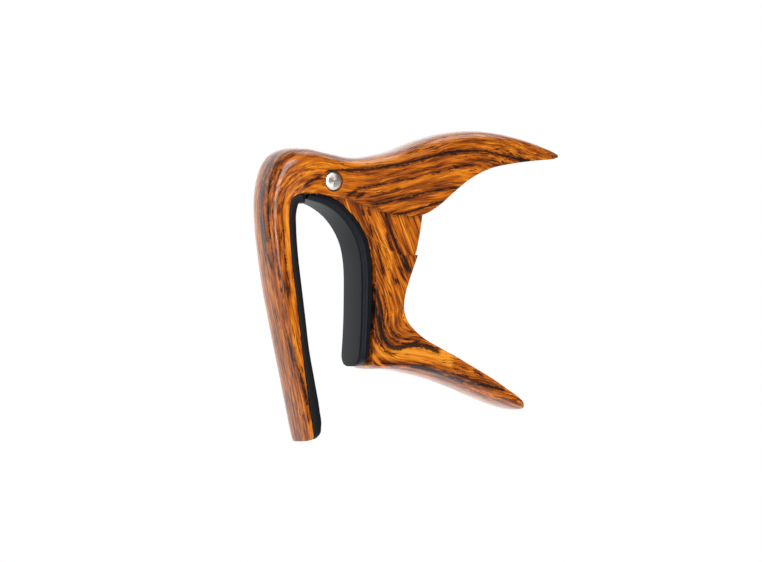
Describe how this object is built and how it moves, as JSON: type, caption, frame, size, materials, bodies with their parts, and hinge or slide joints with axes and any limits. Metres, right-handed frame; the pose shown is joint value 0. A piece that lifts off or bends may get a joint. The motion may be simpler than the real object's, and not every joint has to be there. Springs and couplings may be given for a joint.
{
  "type": "guitar capo",
  "caption": "Spring-loaded trigger capo with a rubber-faced string arm, a curved neck pad and two squeeze handles, in a glossy wood-grain finish.",
  "frame": {"origin": "middle of the string pad's face, on the capo's mid-plane", "axes": "+X from the string arm towards the handle tips, +Z from the arm's free end up towards the pivot, +Y along the pivot from the near cheek to the far one"},
  "size_m": [0.091, 0.0136, 0.0821],
  "materials": {
    "printed_casting": "gloss",
    "string_rubber": "satin",
    "neck_silicone": "satin",
    "pin_steel": "satin",
    "spring_steel": "satin",
    "nylon": "satin"
  },
  "bodies": {
    "upper": {"upper_frame": "printed_casting", "string_pad": "string_rubber", "pivot_pin": "pin_steel", "torsion_spring": "spring_steel", "thrust_washer_near": "nylon", "thrust_washer_far": "nylon"},
    "jaw": {"lower_jaw": "printed_casting", "neck_pad": "neck_silicone"}
  },
  "joints": [
    {"name": "jaw_pivot", "type": "hinge", "parent": "upper", "child": "jaw", "pos_m": [0.00878, 0, 0.02668], "axis": [0, -1, 0], "range_deg": [0, 24], "stiffness_Nm_per_rad": 1, "springref_deg": -28.65, "deforming": ["torsion_spring"]}
  ]
}
